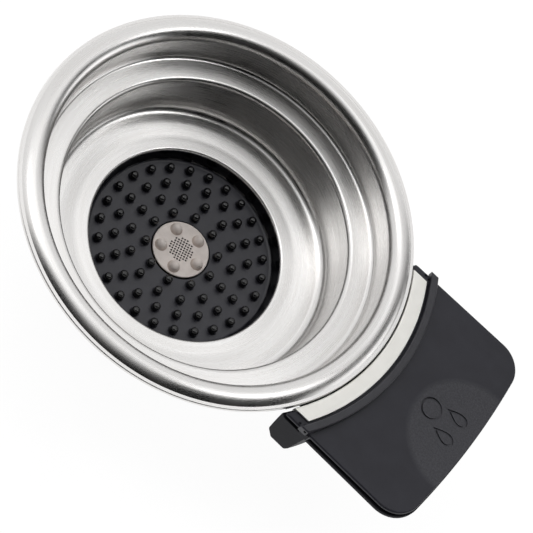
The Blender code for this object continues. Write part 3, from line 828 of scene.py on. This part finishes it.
def make_emblem_cutter():
    """Lines of the emblem, cut down to floors that follow the thumb scoop."""
    cutter = slab("emblem", circle(EMBLEM_RING, EMBLEM_RING_RADIUS), (EMBLEM_RING_FLOOR, 1))
    inner_circle = circle(EMBLEM_RING, EMBLEM_RING_RADIUS - EMBLEM_LINE)
    cut(cutter, slab("emblem_inside", inner_circle, (-2, 2)))
    for centre in EMBLEM_DROPS:
        outer = slab("emblem_drop", drop(centre, EMBLEM_DROP_SIZE), (EMBLEM_DROP_FLOOR, 1))
        inner_centre = (centre[0] + 0.25, centre[1])
        inner_drop = drop(inner_centre, EMBLEM_DROP_SIZE - 1.6 * EMBLEM_LINE)
        cut(outer, slab("emblem_inside", inner_drop, (-2, 2)))
        join(cutter, outer)
    return cutter


def make_top_shell():
    core = tongue(PLATE_ROOT + GROOVE, GROOVE)
    rings = [at_height(core, -PLATE), at_height(core, -PLATE_EDGE)]
    rings += edge_rings(lambda inset: tongue(PLATE_ROOT + inset, inset), 0, -PLATE_EDGE, 0.45, 0.08)
    shell = loft("handle_plate", rings)
    pocket = slab("pocket", sector(45.0, RIB_INNER + 0.2, TRIM_HALF_WIDTH + 0.15), (-POCKET, 4))
    cut(shell, pocket)
    cut(shell, make_scoop_cutter())
    cut(shell, make_emblem_cutter())
    place(smooth(shell, 25), TO_HANDLE)
    finish_piece(shell, "black_plastic", "handle_top_shell", look=PLATE_PLASTIC)
    make_rib()
    make_clip_ends()


def make_rib():
    """Raised bar behind the trim, with rounded edges and a slot in each square end."""
    rings = [at_height(sector(RIB_INNER, RIB_OUTER, RIB_HALF_WIDTH, 81), -0.6)]
    rings += edge_rings(
        lambda inset: sector(RIB_INNER + inset, RIB_OUTER - inset, RIB_HALF_WIDTH - inset, 81),
        RIB_HEIGHT, 0.0, 0.4, 0.0, 7,
    )[7:]
    rib = loft("handle_rib", rings)
    for side in (-1, 1):
        y_range = sorted((side * 25.8, side * 27.6))
        cut(rib, slab("end_slot", rectangle((46.4, 47.0), y_range), (0.2, 0.95)))
    place(smooth(rib, 30), TO_HANDLE)
    finish_piece(rib, "black_plastic", look=RIB_PLASTIC)


def make_clip_ends():
    """Where each lug's face runs up to the rib, and the two nibs beside it."""
    for side, name in ((-1, "right"), (1, "left")):
        y_range = sorted((side * 25.9, side * (LUG_Y + 0.03)))
        cheek = slab(f"lug_cheek_{name}", rectangle((45.8, 48.2), y_range), (-2.4, -0.2))
        finish_piece(place(smooth(bevel(cheek, 0.15)), TO_HANDLE), "black_plastic")
        for number, (x, y) in enumerate(((44.7, 26.3), (45.9, 26.0)), 1):
            outline = rectangle((x - 0.3, x + 0.3), sorted((side * (y - 0.45), side * y)))
            nib = slab(f"clip_nib_{name}_{number}", outline, (-0.2, 0.35))
            finish_piece(place(smooth(bevel(nib, 0.12)), TO_HANDLE), "black_plastic")


def make_bottom_shell():
    """Lower half of the handle: an outer lip below the groove, and a belly that slopes in under it."""
    levels = (  # (distance out from LIP_ROOT, inset, height)
        (1.8, 1.2, -3.5),
        (1.8, 1.2, LIP_TOP - 0.05),
        (0.35, -LIP_PROUD + 0.35, LIP_TOP - 0.05),
        (0.1, -LIP_PROUD + 0.1, LIP_TOP - 0.15),
        (0.0, -LIP_PROUD, LIP_TOP - 0.4),
        (0.0, -LIP_PROUD, LIP_BOTTOM + 0.4),
        (0.15, -LIP_PROUD + 0.15, LIP_BOTTOM + 0.1),
        (0.5, -LIP_PROUD + 0.5, LIP_BOTTOM),
        (0.9, 3.6, -6.4),
        (1.0, 5.0, -7.6),
        (1.2, 5.8, -8.3),
        (1.6, 6.6, BELLY_BOTTOM),
    )
    rings = [at_height(tongue(LIP_ROOT + out, inset, 0.3), z) for out, inset, z in levels]
    shell = loft("handle_tray", rings)
    for x, y in HANDLE_SCREWS:
        cut(shell, slab("counterbore", circle((x, y), 2.9), (BELLY_BOTTOM - 1, BELLY_BOTTOM + 1.5)))
    place(smooth(shell, 25), TO_HANDLE)
    finish_piece(shell, "black_plastic", "handle_bottom_shell")


def make_trim():
    """Steel strip on the handle's root, with its inner edge rolled down towards the bowl."""
    edge = 0.12
    fold = TRIM_INNER + TRIM_SHEET
    profile = [(TRIM_INNER, TRIM_EDGE_Z)]
    profile += arc((TRIM_INNER + TRIM_ROLL, TRIM_SHEET - TRIM_ROLL), TRIM_ROLL, 180, 90, 7)
    profile += arc((TRIM_OUTER - edge, TRIM_SHEET - edge), edge, 90, 0, 4)
    profile += [(TRIM_OUTER, 0.0), (fold, 0.0), (fold, TRIM_EDGE_Z)]
    trim = turned("trim", profile, 360)
    limit = rectangle((30, 60), (-TRIM_HALF_WIDTH, TRIM_HALF_WIDTH))
    keep(trim, slab("trim_limit", limit, (-2, 2)))
    place(smooth(trim, 25), TO_HANDLE)
    finish_piece(trim, "trim_steel", "trim_plate")


def make_handle_screw_heads():
    """Heads with a cross slot, in the belly's counterbores."""
    profile = [
        (0, BELLY_BOTTOM + 1.2),
        (2.5, BELLY_BOTTOM + 1.2),
        (2.5, BELLY_BOTTOM + 0.7),
        (2.2, BELLY_BOTTOM + 0.45),
        (1.2, BELLY_BOTTOM + 0.4),
        (0, BELLY_BOTTOM + 0.4),
    ]
    for number, (x, y) in enumerate(HANDLE_SCREWS, 1):
        head = turned(f"screw_head_{number}", profile, 40, closed=False)
        for degrees in (0, 90):
            bar = slab("cross", rectangle((-1.3, 1.3), (-0.22, 0.22)), (BELLY_BOTTOM, BELLY_BOTTOM + 0.9))
            cut(head, place(bar, Matrix.Rotation(math.radians(degrees + 20 * number), 4, "Z")))
        place(head, Matrix.Translation((x * MM, y * MM, 0)))
        place(smooth(head), TO_HANDLE)
        finish_piece(head, "zinc_plate", f"handle_screw_{number}")


# ---------------------------------------------------------------- carrier

def lug_limit():
    """Outline that cuts the beam off at its two lugs, with the inner corners rounded."""
    start = (LUG_CORNER_X, LUG_Y - ROOT_CHAMFER)
    corner = (LUG_CORNER_X + 0.3, LUG_Y - 0.1)
    finish = (LUG_CORNER_X + ROOT_CHAMFER, LUG_Y)
    end = [(0, LUG_Y - ROOT_CHAMFER)] + bend(start, corner, finish, 6) + [(60, LUG_Y)]
    points = []
    for side in (-1, 1):
        points += [(x, side * y) for x, y in end[::side]]
    return points


def make_lugs():
    """Curved beam behind the rim, whose ends hang down as the two side lugs."""
    beam = turned("carrier_beam", rounded(LUG_INSIDE + LUG_OUTSIDE, 0.5), 240)
    keep(beam, slab("beam_limit", lug_limit(), (20, 40)))
    bevel(beam, 0.25, 3, 50)
    finish_piece(smooth(beam, 30), "black_plastic", "carrier_frame")


def make_carrier():
    make_lugs()
    low, high = CARRIER_RING_Z
    inner, outer = CARRIER_RING
    section = rounded([(inner, low), (outer, low), (outer, high), (inner, high)], 0.3)
    ring = turned("carrier_ring", section, 192)
    for degrees in STUD_ANGLES:
        hole = slab("stud_hole", circle((0, 0), STUD_RADIUS + GAP), (20, 28))
        cut(ring, place(hole, at_angle(SHOULDER_STUD_CIRCLE, degrees)))
    finish_piece(smooth(ring), "black_plastic")
    web = slab("carrier_web", sector(*WEB, WEB_Y), WEB_Z)
    finish_piece(smooth(bevel(web, 0.25)), "black_plastic")
    flange = slab("rim_flange", sector(*RIM_FLANGE, RIM_FLANGE_Y), RIM_FLANGE_Z)
    join(flange, slab("flange_root", sector(*FLANGE_ROOT, FLANGE_ROOT_Y), FLANGE_ROOT_Z))
    finish_piece(smooth(flange), "black_plastic")


# ---------------------------------------------------------------- CAD pieces that stay

def dress_frame():
    """Gives the CAD pieces that stay in view their materials."""
    slots = {entry["node"]: entry["material_slot"] for entry in frame["record"]["subparts"]}
    for name, node in frame["nodes"].items():
        node.data.materials.clear()
        node.data.materials.append(MATERIALS[slots[name]])


# ---------------------------------------------------------------- stage

def make_floor():
    shape = bmesh.new()
    bmesh.ops.create_grid(shape, x_segments=8, y_segments=8, size=GROUND_SIZE * MM)
    ground = new_object("ground", shape)
    ground.data.materials.append(floor_paper())
    place(ground, Matrix.Translation((0, 0, GROUND_Z * MM)))


def aim(obj, place_mm, target_mm, roll):
    """Stands an object at a place with its -Z axis towards the target, and rolls it about that axis."""
    place_at, target = Vector(place_mm) * MM, Vector(target_mm) * MM
    turn = (target - place_at).to_track_quat("-Z", "Y").to_matrix().to_4x4()
    obj.matrix_world = Matrix.Translation(place_at) @ turn @ Matrix.Rotation(roll, 4, "Z")


def make_camera():
    camera = bpy.data.cameras.new("camera")
    camera.lens = CAMERA_LENS
    camera.sensor_width = SENSOR_WIDTH
    camera.clip_start = 0.01
    camera.clip_end = 20
    obj = bpy.data.objects.new("camera", camera)
    bpy.context.scene.collection.objects.link(obj)
    aim(obj, CAMERA_PLACE, CAMERA_TARGET, math.radians(CAMERA_ROLL))
    bpy.context.scene.camera = obj


def toward(azimuth, elevation):
    azimuth, elevation = math.radians(azimuth), math.radians(elevation)
    level = math.cos(elevation)
    return (level * math.cos(azimuth), level * math.sin(azimuth), math.sin(elevation))


def make_world():
    """Dark studio with round softboxes, each fading out over its edge."""
    world = bpy.data.worlds.new("studio")
    world.use_nodes = True
    tree = world.node_tree
    background = tree.nodes["Background"]
    direction = tree.nodes.new("ShaderNodeTexCoord")
    total = None
    for azimuth, elevation, radius, level in SOFTBOXES:
        edge = min(SOFT_EDGE, 0.6 * radius)
        nearness = tree.nodes.new("ShaderNodeVectorMath")
        nearness.operation = "DOT_PRODUCT"
        nearness.inputs[1].default_value = toward(azimuth, elevation)
        tree.links.new(direction.outputs["Generated"], nearness.inputs[0])
        disc = tree.nodes.new("ShaderNodeMapRange")
        disc.interpolation_type = "SMOOTHSTEP"
        disc.inputs["From Min"].default_value = math.cos(math.radians(radius + edge))
        disc.inputs["From Max"].default_value = math.cos(math.radians(radius - edge))
        disc.inputs["To Max"].default_value = level
        tree.links.new(nearness.outputs["Value"], disc.inputs["Value"])
        if total is None:
            total = disc.outputs[0]
            continue
        added = tree.nodes.new("ShaderNodeMath")
        tree.links.new(total, added.inputs[0])
        tree.links.new(disc.outputs[0], added.inputs[1])
        total = added.outputs[0]
    tree.links.new(total, background.inputs["Strength"])
    background.inputs["Color"].default_value = (1.0, 1.0, 1.0, 1.0)
    bpy.context.scene.world = world


dress_frame()
make_bowl()
make_brew_floor()
make_sieve()
make_top_shell()
make_bottom_shell()
make_trim()
make_handle_screw_heads()
make_carrier()
make_floor()
make_camera()
make_world()
bpy.context.scene.view_settings.view_transform = "Standard"


def plain(box):
    return [list(corner) for corner in box]
